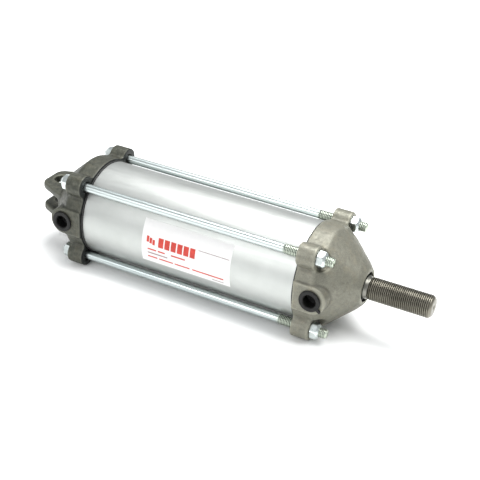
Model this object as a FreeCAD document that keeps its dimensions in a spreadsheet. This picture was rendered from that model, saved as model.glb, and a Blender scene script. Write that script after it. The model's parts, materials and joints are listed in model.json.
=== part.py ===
import FreeCAD, Part
import math
import os
import Sketcher
from FreeCAD import Placement, Rotation, Vector

# Double-acting tie-rod air cylinder, 3.5 in bore by 8 in stroke, in millimetres.
# Origin: centre of the clevis pin hole, on the cylinder's axis. +X runs along the
# axis towards the rod end, +Z up, and both air ports face -Y. The rod is fully in.

doc = FreeCAD.newDocument("pneumatic_cylinder")

# ---------------------------------------------------------------- driving sizes
SIZES = {
    "bore_dia": (88.9, "inside of the tube, 3.5 in"),
    "tube_dia": (95.25, "outside of the tube, 3.75 in"),
    "stroke": (203.2, "rod travel, 8 in"),
    "head_gap": (231.8, "between the machined inner faces of the heads, 9 1/8 in"),
    "rear_flange_x": (39.0, "pin centre to the outer face of the rear flange"),
    "flange_thickness": (18.0, "both heads"),
    "flange_radius": (50.0, "round part of both flanges"),
    "lobe_radius": (11.0, "lobe round each tie rod"),
    "lobe_blend": (5.0, "hollow blend between lobe and flange"),
    "bolt_square": (76.2, "tie-rod centres, 3 in square"),
    "bolt_hole_dia": (10.4, "clearance hole for a tie rod"),
    "register_dia": (88.7, "spigot that centres the tube"),
    "register_length": (3.0, "spigot length into the tube"),
    "gasket_dia": (97.4, "outside of the tube gaskets"),
    "gasket_thickness": (1.5, "squeezed"),
    "ear_tip": (14.6, "pin centre to the end of the ears"),
    "ear_tip_half": (14.6, "half width across the ears' ends, before rounding"),
    "ear_buried": (8.0, "length of an ear inside the hub"),
    "ear_root": (22.0, "pin centre to the ears' root in the hub"),
    "ear_root_half": (32.4, "half width of the ears at their root"),
    "ear_corner": (10.0, "rounding of the ears' outer corners in plan"),
    "ear_edge": (1.8, "cast rounding of the ears' edges"),
    "ear_stack": (32.0, "across both ears"),
    "slot_width": (16.0, "between the ears, for a 5/8 in tongue"),
    "slot_depth": (15.0, "pin centre to the slot's floor"),
    "pin_hole_dia": (16.0, "clevis pin hole"),
    "hub_end_x": (17.0, "rear end of the hub"),
    "hub_end_radius": (27.0, "flat at the hub's rear end"),
    "hub_cone_x": (20.5, "pin centre to the small end of the hub's cone"),
    "hub_cone_radius": (33.7, "hub's cone radius there"),
    "hub_base": (0.6, "straight part of the rear head past its flange"),
    "nut_well_dia": (33.0, "recess for the piston nut in the rear head"),
    "nut_well_depth": (16.0, "from the rear head's inner face"),
    "air_room_margin": (1.0, "rear head's air room, past the drilling"),
    "air_way_dia": (9.0, "drilling from a port to the chamber"),
    "rear_port_from_face": (21.0, "rear port centre to the head's inner face"),
    "front_port_from_face": (18.0, "front port centre to the head's inner face"),
    "port_face_y": (50.3, "axis to the machined port face"),
    "port_dia": (17.1, "3/8 in pipe thread"),
    "port_depth": (14.0, "threaded depth"),
    "rear_boss_radius": (14.2, "round end of the rear port boss"),
    "front_boss_radius": (14.6, "round end of the front port boss"),
    "boss_inner_y": (26.0, "axis to the buried end of a boss"),
    "cone_base": (0.6, "straight part of the front head past its flange"),
    "cone_tip": (30.2, "front flange face to the small end of the cone"),
    "cone_tip_radius": (23.0, "cone radius there"),
    "nose_length": (35.3, "front flange face to the end of the nose"),
    "nose_radius": (17.2, "end face of the nose"),
    "nose_round": (5.0, "rounding where the cone becomes the end face"),
    "cone_round": (7.0, "rounding where the flange becomes the cone"),
    "nut_seat_dia": (25.0, "machined seat round each nut"),
    "seat_depth": (0.3, "nut seats are cut this far into the flange"),
    "air_room_dia": (27.0, "room round the rod inside the front head"),
    "air_room_depth": (23.2, "from the front head's inner face"),
    "bushing_dia": (25.4, "outside of the rod bushing"),
    "bushing_length": (18.0, "rod bushing"),
    "gland_dia": (28.5, "counterbore for seal, washer and wiper"),
    "ring_groove_dia": (30.4, "groove of the retaining ring"),
    "ring_width": (1.3, "thickness of the retaining ring"),
    "ring_inset": (2.0, "nose end to the retaining ring"),
    "seal_length": (4.6, "rod cup seal"),
    "washer_length": (1.2, "washer between seal and wiper"),
    "wiper_length": (2.8, "rod wiper, without its lip"),
    "rod_dia": (22.225, "7/8 in rod, and its thread's crests"),
    "rod_end_x": (406.4, "pin centre to the rod's tip, rod fully in"),
    "rod_thread_length": (60.8, "thread on the rod"),
    "rod_neck_dia": (19.9, "relief at the inner end of the thread"),
    "rod_neck_length": (1.4, "relief width"),
    "rod_chamfer": (2.4, "at the tip"),
    "rod_tail": (1.2, "rod past its piston nut"),
    "rod_step_dia": (15.875, "stepped end through the piston, 5/8 in"),
    "piston_gap": (0.1, "piston to each register at the ends of travel"),
    "piston_dia": (88.2, "piston body"),
    "cup_groove_dia": (76.4, "floor of each cup groove"),
    "cup_groove_width": (5.2, "cup groove"),
    "cup_inset": (1.5, "piston face to its cup groove"),
    "wear_groove_dia": (83.6, "floor of the wear ring groove"),
    "wear_groove_width": (4.2, "wear ring groove"),
    "piston_nut_flats": (23.8, "5/8-18 nut, across flats"),
    "piston_nut_height": (9.4, "5/8-18 nut"),
    "piston_washer_dia": (28.0, "under the piston nut"),
    "piston_washer_length": (2.0, "under the piston nut"),
    "o_ring_section": (1.5, "O-ring between piston and rod"),
    "tie_rod_dia": (8.5, "rolled-thread shank"),
    "tie_thread_dia": (9.525, "3/8-16 thread"),
    "tie_rear_x": (29.0, "rear end of the tie rods"),
    "tie_front_x": (322.0, "front end of the tie rods"),
    "tie_rear_thread": (26.0, "thread at the rear end"),
    "tie_front_thread": (49.0, "thread at the front end"),
    "thread_runout": (0.5, "cone between a thread and the shank"),
    "tie_chamfer": (0.8, "at both ends"),
    "nut_flats": (14.29, "3/8-16 nut, across flats, 9/16 in"),
    "nut_height": (8.33, "3/8-16 nut"),
    "nut_face_share": (0.97, "turned end face of a nut, share of its flats"),
    "nut_chamfer": (1.0, "axial height of the nut's corner chamfer"),
    "fit_gap": (0.02, "radial play where pieces are assembled tight"),
    "end_gap": (0.02, "axial play between the seals and their seats"),
    "lip_length": (2.0, "rod seal's and wiper's lips, along the rod"),
    "seal_lip_inner": (0.4, "rod seal's inner lip, its tip's near side off the rod"),
    "seal_lip_inner_back": (0.9, "the tip's far side"),
    "seal_lip_inner_root": (1.3, "the lip's root"),
    "seal_lip_outer": (0.3, "rod seal's outer lip, its tip's near side off the bore"),
    "seal_lip_outer_back": (0.7, "the tip's far side"),
    "seal_lip_outer_root": (1.1, "the lip's root"),
    "seal_lip_bevel": (0.8, "both lips' slanted ends"),
    "washer_play": (0.4, "seal washer's radial play on the rod"),
    "wiper_lip_root": (0.5, "wiper's lip at its root, off the rod"),
    "wiper_lip_tip": (0.4, "wiper's lip at its tip, off the rod"),
    "ring_play": (0.1, "retaining ring's play in its groove, along and across the axis"),
    "ring_height": (1.0, "retaining ring's inner side, inside the gland's bore"),
    "ring_gap_inner": (3.0, "half the ring's gap at its centre"),
    "ring_gap_outer": (5.0, "half the ring's gap at its outside"),
    "lug_angle": (17.0, "ring's lugs, degrees each side of its gap"),
    "lug_radius": (1.5, "ring's lugs"),
    "lug_hole_radius": (0.6, "plier holes"),
    "cup_lip_length": (2.6, "piston cup's lips, along the bore"),
    "cup_lip_floor_tip": (0.3, "piston cup's inner lip, its tip off the groove floor"),
    "cup_lip_floor_back": (1.3, "the tip's far side"),
    "cup_lip_root": (2.3, "both lips at their roots"),
    "cup_lip_wall_back": (1.2, "piston cup's outer lip, far side off the bore"),
    "cup_wall_play": (0.5, "piston cup's body off the bore"),
    "rod_edge": (0.8, "chamfer of the rod's rear end"),
    "rod_relief_cone": (0.6, "cones at both ends of the thread relief"),
    "o_ring_inset": (3.0, "O-ring groove from the rod's shoulder"),
    "o_ring_play": (0.3, "O-ring groove's extra width"),
    "plug_tab_overlap": (2.0, "length of the pull tab inside the rim"),
    "running_gap": (0.05, "radial play where pieces slide or turn"),
    "label_start_x": (127.0, "pin centre to the label's rear edge"),
    "label_length": (96.5, "along the tube"),
    "label_low_angle": (200.0, "lower edge, degrees from +Y through +Z"),
    "label_high_angle": (146.0, "upper edge"),
    "label_play": (0.01, "adhesive under the label"),
    "label_thickness": (0.12, "printed foil"),
    "plug_rim_dia": (21.2, "rim of a shipping plug"),
    "plug_rim_thickness": (1.9, "rim"),
    "plug_body_dia": (16.4, "part inside the port"),
    "plug_body_length": (9.0, "part inside the port"),
    "plug_core_dia": (12.4, "hollow of a plug"),
    "plug_floor": (1.2, "closed end of a plug"),
    "plug_seat_gap": (0.1, "under the rim"),
    "plug_tab_reach": (14.4, "port centre to the end of the pull tab"),
    "plug_tab_width": (3.0, "pull tab"),
    "plug_tab_angle": (38.0, "pull tab, degrees below +X"),
}

sheet = doc.addObject("Spreadsheet::Sheet", "Sizes")
for row, (alias, (number, meaning)) in enumerate(SIZES.items(), start=1):
    sheet.set(f"A{row}", alias)
    sheet.set(f"B{row}", str(number))
    sheet.set(f"C{row}", meaning)
    sheet.setAlias(f"B{row}", alias)
doc.recompute()

# Places along the axis that several pieces share, as expressions of the sheet.
REAR_FACE = "(Sizes.rear_flange_x + Sizes.flange_thickness)"
FRONT_FACE = f"({REAR_FACE} + Sizes.head_gap)"
FRONT_FLANGE = f"({FRONT_FACE} + Sizes.flange_thickness)"
REAR_SEAT = "(Sizes.rear_flange_x + Sizes.seat_depth)"
FRONT_SEAT = f"({FRONT_FLANGE} - Sizes.seat_depth)"
NOSE_END = f"({FRONT_FLANGE} + Sizes.nose_length)"
BUSHING_REAR = f"({FRONT_FACE} + Sizes.air_room_depth)"
BUSHING_FRONT = f"({BUSHING_REAR} + Sizes.bushing_length)"
RING_FRONT = f"({NOSE_END} - Sizes.ring_inset)"
PISTON_REAR = f"({REAR_FACE} + Sizes.register_length + Sizes.piston_gap)"
PISTON_FRONT = (f"({FRONT_FACE} - Sizes.register_length - Sizes.piston_gap"
                " - Sizes.stroke)")
PISTON_MIDDLE = f"(({PISTON_REAR} + {PISTON_FRONT}) / 2)"
ROD_REAR = (f"({PISTON_REAR} - Sizes.piston_washer_length - Sizes.piston_nut_height"
            " - Sizes.rod_tail)")
REAR_PORT_X = f"({REAR_FACE} - Sizes.rear_port_from_face)"
FRONT_PORT_X = f"({FRONT_FACE} + Sizes.front_port_from_face)"
CORNER = "(Sizes.bolt_square / 2)"
# Farther than any face of the heads is from a cut's start.
FAR_OUT = "150"
# How far a cut starts outside the face that it opens.
PAST = "1"

# Each nut stands this many degrees round from the one before it.
NUT_TWIST = 37
# The retaining ring's gap, in degrees from +Y.
RING_TURN = -128
# Edges shorter than this are not where a lobe meets the flange.
SHORT_EDGE = 5
# How far those edges may lie from the flange's radius.
HOLLOW_SLACK = 0.6

CORNERS = {
    "top_near": (-1, 1),
    "top_far": (1, 1),
    "bottom_near": (-1, -1),
    "bottom_far": (1, -1),
}


# ------------------------------------------------------------------ small tools
def value(expression):
    """The number that an expression of the sheet gives now."""
    return float(sheet.evalExpression(expression))


def new_body(name):
    body = doc.addObject("PartDesign::Body", name)
    body.Label = name
    return body


def new_sketch(body, role, offset="0"):
    """A sketch on one of the body's origin planes, moved along its normal."""
    plane = next(item for item in body.Origin.OriginFeatures if item.Role == role)
    sketch = body.newObject("Sketcher::SketchObject", body.Name + "_sketch")
    sketch.AttachmentSupport = (plane, [""])
    sketch.MapMode = "FlatFace"
    sketch.setExpression(".AttachmentOffset.Base.z", offset)
    return sketch


def pin_point(sketch, curve, end, across, up):
    """Tie one end (1, 2) or centre (3) of a curve to two expressions."""
    for kind, zero_axis, expression in (("DistanceX", -2, across), ("DistanceY", -1, up)):
        number = value(expression)
        if abs(number) < 1e-9:
            sketch.addConstraint(Sketcher.Constraint("PointOnObject", curve, end, zero_axis))
            continue
        rule = sketch.addConstraint(Sketcher.Constraint(kind, -1, 1, curve, end, number))
        sketch.setExpression(f"Constraints[{rule}]", expression)


def draw_outline(sketch, corners):
    """A closed outline of straight lines through (across, up) expressions."""
    points = [Vector(value(across), value(up), 0) for across, up in corners]
    first = sketch.GeometryCount
    for start, end in zip(points, points[1:] + points[:1]):
        sketch.addGeometry(Part.LineSegment(start, end))
    for index, (across, up) in enumerate(corners):
        line = first + index
        previous = first + (index - 1) % len(corners)
        sketch.addConstraint(Sketcher.Constraint("Coincident", previous, 2, line, 1))
        pin_point(sketch, line, 1, across, up)


def draw_circle(sketch, across, up, radius):
    centre = Vector(value(across), value(up), 0)
    curve = sketch.addGeometry(Part.Circle(centre, Vector(0, 0, 1), value(radius)))
    pin_point(sketch, curve, 3, across, up)
    rule = sketch.addConstraint(Sketcher.Constraint("Radius", curve, value(radius)))
    sketch.setExpression(f"Constraints[{rule}]", radius)


def add_feature(body, kind, sketch):
    feature = body.newObject("PartDesign::" + kind, body.Name + "_" + kind.lower())
    feature.Profile = sketch
    sketch.Visibility = False
    return feature


def turn(body, corners, kind="Revolution"):
    """Turn an outline in the XY plane about the X axis, or groove with it."""
    sketch = new_sketch(body, "XY_Plane")
    draw_outline(sketch, corners)
    feature = add_feature(body, kind, sketch)
    feature.ReferenceAxis = (sketch, ["H_Axis"])
    feature.Angle = 360
    doc.recompute()
    return feature


def extrude(body, kind, role, offset, length, draw, backwards=False):
    """Pad or pocket what draw() puts in a sketch on a moved origin plane."""
    sketch = new_sketch(body, role, offset)
    draw(sketch)
    feature = add_feature(body, kind, sketch)
    feature.setExpression("Length", length)
    feature.Reversed = backwards
    doc.recompute()
    return feature


def round_edges(body, radius, wanted):
    """Fillet the edges of the body's latest shape that wanted(edge) picks."""
    base = body.Tip
    names = [f"Edge{n}" for n, edge in enumerate(base.Shape.Edges, 1) if wanted(edge)]
    feature = body.newObject("PartDesign::Fillet", body.Name + "_fillet")
    feature.Base = (base, names)
    feature.setExpression("Radius", radius)
    doc.recompute()
    return feature


def rectangle(x0, x1, radius0, radius1):
    """Corners of an outline between two places on the axis and two radii."""
    return [(x0, radius0), (x1, radius0), (x1, radius1), (x0, radius1)]


def near(first, second, slack=0.05):
    return abs(first - second) < slack


def is_ring_at(place):
    """Picks the edges that lie wholly at one place on the axis."""
    x = value(place)
    return lambda edge: near(edge.BoundBox.XMin, x) and near(edge.BoundBox.XMax, x)


def four_circles(radius):
    """Draws a circle round each tie rod."""
    def draw(sketch):
        for side, height in CORNERS.values():
            draw_circle(sketch, f"{side} * {CORNER}", f"{height} * {CORNER}", radius)
    return draw


# ------------------------------------------------------------------- both heads
def add_lobes(body, rear_x):
    """Four lobes on the flange, blended into its round side."""
    extrude(body, "Pad", "YZ_Plane", rear_x, "Sizes.flange_thickness",
            four_circles("Sizes.lobe_radius"))

    def in_the_hollow(edge):
        start, end = edge.Vertexes[0].Point, edge.Vertexes[-1].Point
        along_x = near(start.y, end.y) and near(start.z, end.z) and edge.Length > SHORT_EDGE
        reach = (start.y ** 2 + start.z ** 2) ** 0.5
        return along_x and near(reach, value("Sizes.flange_radius"), HOLLOW_SLACK)

    round_edges(body, "Sizes.lobe_blend", in_the_hollow)


def drill_tie_rod_holes(body, rear_x):
    extrude(body, "Pocket", "YZ_Plane", f"{rear_x} - {FAR_OUT} / 2", FAR_OUT,
            four_circles("Sizes.bolt_hole_dia / 2"), backwards=True)


def add_port(body, port_x, face_x, boss_radius):
    """A U-shaped boss with a flat face, its pipe-threaded hole and the drilling."""
    side = 1 if value(face_x) > value(port_x) else -1
    first, second = (boss_radius, f"-{boss_radius}")[::side]
    quarter = math.pi / 2

    def draw_u(sketch):
        circle = Part.Circle(Vector(value(port_x), 0, 0), Vector(0, 0, 1), value(boss_radius))
        arc = Part.ArcOfCircle(circle, side * quarter, (2 + side) * quarter)
        round_end = sketch.addGeometry(arc)
        pin_point(sketch, round_end, 3, port_x, "0")
        pin_point(sketch, round_end, 1, port_x, first)
        end_rule = Sketcher.Constraint("DistanceX", -1, 1, round_end, 2, value(port_x))
        end_index = sketch.addConstraint(end_rule)
        sketch.setExpression(f"Constraints[{end_index}]", port_x)
        corners = [(port_x, first), (face_x, first), (face_x, second), (port_x, second)]
        points = [Vector(value(across), value(up), 0) for across, up in corners]
        for index in range(3):
            line = sketch.addGeometry(Part.LineSegment(points[index], points[index + 1]))
            pin_point(sketch, line, 1, *corners[index])
            pin_point(sketch, line, 2, *corners[index + 1])

    extrude(body, "Pad", "XZ_Plane", "Sizes.port_face_y",
            "Sizes.port_face_y - Sizes.boss_inner_y", draw_u, backwards=True)
    extrude(body, "Pocket", "XZ_Plane", "Sizes.port_face_y", "Sizes.port_depth",
            lambda sketch: draw_circle(sketch, port_x, "0", "Sizes.port_dia / 2"))
    extrude(body, "Pocket", "XZ_Plane", "Sizes.port_face_y",
            "Sizes.port_face_y - Sizes.air_way_dia / 2",
            lambda sketch: draw_circle(sketch, port_x, "0", "Sizes.air_way_dia / 2"))


# -------------------------------------------------------------------- rear head
def make_rear_head():
    body = new_body("rear_head")
    add_clevis(body)
    turn(body, [
        ("Sizes.hub_end_x", "0"),
        (f"{REAR_FACE} + Sizes.register_length", "0"),
        (f"{REAR_FACE} + Sizes.register_length", "Sizes.register_dia / 2"),
        (REAR_FACE, "Sizes.register_dia / 2"),
        (REAR_FACE, "Sizes.flange_radius"),
        ("Sizes.rear_flange_x - Sizes.hub_base", "Sizes.flange_radius"),
        ("Sizes.hub_cone_x", "Sizes.hub_cone_radius"),
        ("Sizes.hub_end_x", "Sizes.hub_end_radius"),
    ])
    round_edges(body, "Sizes.cone_round", is_ring_at("Sizes.rear_flange_x - Sizes.hub_base"))
    add_lobes(body, "Sizes.rear_flange_x")
    extrude(body, "Pocket", "YZ_Plane", REAR_SEAT, FAR_OUT,
            four_circles("Sizes.nut_seat_dia / 2"))
    add_port(body, REAR_PORT_X, REAR_FACE, "Sizes.rear_boss_radius")
    drill_tie_rod_holes(body, "Sizes.rear_flange_x")
    turn(body, rectangle(f"{REAR_FACE} - Sizes.nut_well_depth",
                         f"{REAR_FACE} + Sizes.register_length + {PAST}",
                         "0", "Sizes.nut_well_dia / 2"), "Groove")
    turn(body, rectangle(f"{REAR_PORT_X} - Sizes.air_way_dia / 2 - Sizes.air_room_margin",
                         f"{REAR_FACE} - Sizes.nut_well_depth + {PAST}",
                         "0", "Sizes.air_way_dia"), "Groove")
    return body


def add_clevis(body):
    """Two parallel ears with rounded ends, a slot between them and a pin hole."""
    ear_outline = [
        ("-Sizes.ear_tip", "-Sizes.ear_tip_half"),
        ("Sizes.ear_root", "-Sizes.ear_root_half"),
        ("Sizes.ear_root + Sizes.ear_buried", "-Sizes.hub_end_radius"),
        ("Sizes.ear_root + Sizes.ear_buried", "Sizes.hub_end_radius"),
        ("Sizes.ear_root", "Sizes.ear_root_half"),
        ("-Sizes.ear_tip", "Sizes.ear_tip_half"),
    ]
    extrude(body, "Pad", "XY_Plane", "-Sizes.ear_stack / 2", "Sizes.ear_stack",
            lambda sketch: draw_outline(sketch, ear_outline))
    tip = -value("Sizes.ear_tip")
    outer_z = value("Sizes.ear_stack / 2")
    round_edges(body, "Sizes.ear_corner", lambda edge: (
        near(edge.BoundBox.XMin, tip) and near(edge.BoundBox.XMax, tip)
        and edge.BoundBox.ZLength > outer_z))
    extrude(body, "Pocket", "XZ_Plane", FAR_OUT, f"2 * {FAR_OUT}",
            lambda sketch: draw_outline(sketch, [
                (f"-Sizes.ear_tip - {PAST}", "-Sizes.slot_width / 2"),
                ("Sizes.slot_depth", "-Sizes.slot_width / 2"),
                ("Sizes.slot_depth", "Sizes.slot_width / 2"),
                (f"-Sizes.ear_tip - {PAST}", "Sizes.slot_width / 2")]))
    inner_z = value("Sizes.slot_width / 2")
    root_x = value("Sizes.slot_depth") - 0.5

    def on_an_ear(edge):
        box = edge.BoundBox
        level = box.ZLength < 0.01
        at_ear_face = near(abs(box.ZMin), outer_z) or near(abs(box.ZMin), inner_z)
        return level and at_ear_face and box.XMin < root_x and not (
            near(box.XMin, value("Sizes.slot_depth")))

    round_edges(body, "Sizes.ear_edge", on_an_ear)
    extrude(body, "Pocket", "XY_Plane", "Sizes.ear_stack", "2 * Sizes.ear_stack",
            lambda sketch: draw_circle(sketch, "0", "0", "Sizes.pin_hole_dia / 2"))


# ------------------------------------------------------------------- front head
def make_front_head():
    body = new_body("front_head")
    turn(body, [
        (f"{FRONT_FACE} - Sizes.register_length", "0"),
        (NOSE_END, "0"),
        (NOSE_END, "Sizes.nose_radius"),
        (f"{FRONT_FLANGE} + Sizes.cone_tip", "Sizes.cone_tip_radius"),
        (f"{FRONT_FLANGE} + Sizes.cone_base", "Sizes.flange_radius"),
        (FRONT_FACE, "Sizes.flange_radius"),
        (FRONT_FACE, "Sizes.register_dia / 2"),
        (f"{FRONT_FACE} - Sizes.register_length", "Sizes.register_dia / 2"),
    ])
    round_edges(body, "Sizes.nose_round", is_ring_at(f"{FRONT_FLANGE} + Sizes.cone_tip"))
    round_edges(body, "Sizes.cone_round", is_ring_at(f"{FRONT_FLANGE} + Sizes.cone_base"))
    add_lobes(body, FRONT_FACE)
    extrude(body, "Pocket", "YZ_Plane", FRONT_SEAT, FAR_OUT,
            four_circles("Sizes.nut_seat_dia / 2"), backwards=True)
    add_port(body, FRONT_PORT_X, FRONT_FACE, "Sizes.front_boss_radius")
    drill_tie_rod_holes(body, FRONT_FACE)
    bores = (
        (f"{FRONT_FACE} - Sizes.register_length - {PAST}", BUSHING_REAR, "Sizes.air_room_dia / 2"),
        (f"{BUSHING_REAR} - {PAST}", BUSHING_FRONT, "Sizes.bushing_dia / 2"),
        (BUSHING_FRONT, f"{NOSE_END} + {PAST}", "Sizes.gland_dia / 2"),
        (f"{RING_FRONT} - Sizes.ring_width - Sizes.ring_play", RING_FRONT, "Sizes.ring_groove_dia / 2"),
    )
    for start, end, radius in bores:
        turn(body, rectangle(start, end, "0", radius), "Groove")
    return body


# ------------------------------------------------------- tube, gaskets and label
def make_ring(name, start, end, inner_radius, outer_radius):
    """A plain turned ring."""
    body = new_body(name)
    turn(body, rectangle(start, end, inner_radius, outer_radius))
    return body


def make_tube():
    return make_ring("cylinder_tube", f"{REAR_FACE} + Sizes.gasket_thickness",
                     f"{FRONT_FACE} - Sizes.gasket_thickness",
                     "Sizes.bore_dia / 2", "Sizes.tube_dia / 2")


def make_gaskets():
    inner, outer = "Sizes.register_dia / 2 + Sizes.fit_gap", "Sizes.gasket_dia / 2"
    make_ring("rear_tube_gasket", REAR_FACE, f"{REAR_FACE} + Sizes.gasket_thickness",
              inner, outer)
    make_ring("front_tube_gasket", f"{FRONT_FACE} - Sizes.gasket_thickness", FRONT_FACE,
              inner, outer)


def make_label():
    """A thin curved patch: the sector between two cylinders."""
    shells = []
    for layer, radius in (("outside", "Sizes.tube_dia / 2 + Sizes.label_thickness"),
                          ("inside", "Sizes.tube_dia / 2 + Sizes.label_play")):
        shell = doc.addObject("Part::Cylinder", "label_" + layer)
        shell.setExpression("Radius", radius)
        shell.setExpression("Height", "Sizes.label_length")
        shell.setExpression("Angle", "Sizes.label_low_angle - Sizes.label_high_angle")
        shells.append(shell)
    label = doc.addObject("Part::Cut", "label")
    label.Base, label.Tool = shells
    label.Label = "label"
    # The cylinders stand on Z with their sector from +X: turned so that their axis is X
    # and the sector starts at the label's upper edge, measured from +Y through +Z.
    lay_along_x = Rotation(Vector(0, 1, 0), Vector(0, 0, 1), Vector(1, 0, 0))
    to_upper_edge = Rotation(Vector(1, 0, 0), value("Sizes.label_high_angle"))
    label.Placement = Placement(Vector(), to_upper_edge * lay_along_x)
    label.setExpression(".Placement.Base.x", "Sizes.label_start_x")


# --------------------------------------------------- tie rods and their fasteners
def make_tie_rod(name):
    body = new_body(name)
    thread, shank = "Sizes.tie_thread_dia / 2", "Sizes.tie_rod_dia / 2"
    rear, front, chamfer = "Sizes.tie_rear_x", "Sizes.tie_front_x", "Sizes.tie_chamfer"
    turn(body, [
        (rear, "0"),
        (rear, f"{thread} - {chamfer}"),
        (f"{rear} + {chamfer}", thread),
        (f"{rear} + Sizes.tie_rear_thread", thread),
        (f"{rear} + Sizes.tie_rear_thread + Sizes.thread_runout", shank),
        (f"{front} - Sizes.tie_front_thread - Sizes.thread_runout", shank),
        (f"{front} - Sizes.tie_front_thread", thread),
        (f"{front} - {chamfer}", thread),
        (front, f"{thread} - {chamfer}"),
        (front, "0"),
    ])
    return body


def make_nut(name, flats, height, hole_radius, chamfer):
    """A hexagon nut standing on the YZ plane, with both ends' corners turned off."""
    body = new_body(name)
    corner, half = f"({flats} / sqrt(3))", f"({flats} / 2)"
    extrude(body, "Pad", "YZ_Plane", "0", height, lambda sketch: draw_outline(sketch, [
        (corner, "0"), (f"{corner} / 2", half), (f"-{corner} / 2", half),
        (f"-{corner}", "0"), (f"-{corner} / 2", f"-{half}"), (f"{corner} / 2", f"-{half}")]))
    turn(body, rectangle(f"-{PAST}", f"{height} + {PAST}", "0", hole_radius), "Groove")
    for end, inward in ((height, "-"), ("0", "+")):
        turn(body, [
            (end, f"{half} * Sizes.nut_face_share"),
            (f"{end} {inward} {chamfer}", corner),
            (f"{end} {inward} {chamfer}", f"{corner} + {PAST}"),
            (end, f"{corner} + {PAST}"),
        ], "Groove")
    return body


def place(body, start_x, side, height, twist):
    """Put a piece made at the origin on a tie rod, turned about it by twist degrees."""
    body.Placement = Placement(Vector(), Rotation(Vector(1, 0, 0), twist))
    body.setExpression(".Placement.Base.x", start_x)
    body.setExpression(".Placement.Base.y", f"{side} * {CORNER}")
    body.setExpression(".Placement.Base.z", f"{height} * {CORNER}")


def make_fasteners():
    ends = {"rear": f"{REAR_SEAT} - Sizes.nut_height", "front": FRONT_SEAT}
    twist = 0
    for corner, (side, height) in CORNERS.items():
        place(make_tie_rod("tie_rod_" + corner), "0", side, height, 0)
        for end, nut_x in ends.items():
            twist += NUT_TWIST
            nut = make_nut(f"{end}_nut_{corner}", "Sizes.nut_flats", "Sizes.nut_height",
                           "Sizes.tie_thread_dia / 2 + Sizes.fit_gap", "Sizes.nut_chamfer")
            place(nut, nut_x, side, height, twist)


# --------------------------------------------------- what sits in the front head
def make_gland_pieces():
    rod, bore = "Sizes.rod_dia / 2", "Sizes.gland_dia / 2"
    running = f"{rod} + Sizes.running_gap"
    gland = f"{bore} - Sizes.fit_gap"
    seal_end = f"({BUSHING_FRONT} + Sizes.seal_length)"
    washer_end = f"({seal_end} + Sizes.washer_length)"
    wiper_end = f"({washer_end} + Sizes.wiper_length)"
    lip_root = f"{BUSHING_FRONT} + Sizes.lip_length"
    lip_bevel = f"{BUSHING_FRONT} + Sizes.seal_lip_bevel"
    seal_back = f"{seal_end} - Sizes.end_gap"
    wiper_back, wiper_front = f"{washer_end} + Sizes.end_gap", f"{wiper_end} - Sizes.end_gap"
    wiper_tip = f"{wiper_end} + Sizes.lip_length"
    make_ring("rod_bushing", BUSHING_REAR, BUSHING_FRONT, running,
              "Sizes.bushing_dia / 2 - Sizes.fit_gap")
    seal = new_body("rod_cup_seal")
    turn(seal, [
        (BUSHING_FRONT, f"{rod} + Sizes.seal_lip_inner"),
        (BUSHING_FRONT, f"{rod} + Sizes.seal_lip_inner_back"),
        (lip_root, f"{rod} + Sizes.seal_lip_inner_root"),
        (lip_root, f"{bore} - Sizes.seal_lip_outer_root"),
        (BUSHING_FRONT, f"{bore} - Sizes.seal_lip_outer_back"),
        (BUSHING_FRONT, f"{bore} - Sizes.seal_lip_outer"),
        (lip_bevel, gland),
        (seal_back, gland),
        (seal_back, running),
        (lip_bevel, running),
    ])
    make_ring("seal_washer", seal_end, washer_end, f"{rod} + Sizes.washer_play", gland)
    wiper = new_body("rod_wiper")
    turn(wiper, [
        (wiper_back, running),
        (wiper_back, gland),
        (wiper_front, gland),
        (wiper_front, f"{rod} + Sizes.wiper_lip_root"),
        (wiper_tip, f"{rod} + Sizes.wiper_lip_tip"),
        (wiper_tip, running),
    ])
    make_retaining_ring()


def make_retaining_ring():
    """An inside retaining ring: an open ring with two drilled lugs at its gap."""
    width = "Sizes.ring_width"
    outer = "(Sizes.ring_groove_dia / 2 - Sizes.ring_play)"
    inner = "(Sizes.gland_dia / 2 - Sizes.ring_height)"
    lug_places = [(f"{inner} * cos(Sizes.lug_angle * 1deg)",
                   f"{side} * {inner} * sin(Sizes.lug_angle * 1deg)") for side in (-1, 1)]
    body = make_ring("retaining_ring", f"-{width}", "0", inner, outer)
    extrude(body, "Pocket", "YZ_Plane", PAST, f"2 * {PAST} + {width}",
            lambda sketch: draw_outline(sketch, [
                ("0", "-Sizes.ring_gap_inner"), (outer, "-Sizes.ring_gap_outer"),
                (outer, "Sizes.ring_gap_outer"), ("0", "Sizes.ring_gap_inner")]))
    for across, up in lug_places:
        extrude(body, "Pad", "YZ_Plane", f"-{width}", width,
                lambda sketch: draw_circle(sketch, across, up, "Sizes.lug_radius"))
    for across, up in lug_places:
        extrude(body, "Pocket", "YZ_Plane", PAST, f"2 * {PAST} + {width}",
                lambda sketch: draw_circle(sketch, across, up, "Sizes.lug_hole_radius"))
    body.Placement = Placement(Vector(), Rotation(Vector(1, 0, 0), RING_TURN))
    body.setExpression(".Placement.Base.x", f"{RING_FRONT} - Sizes.ring_play / 2")


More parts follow.
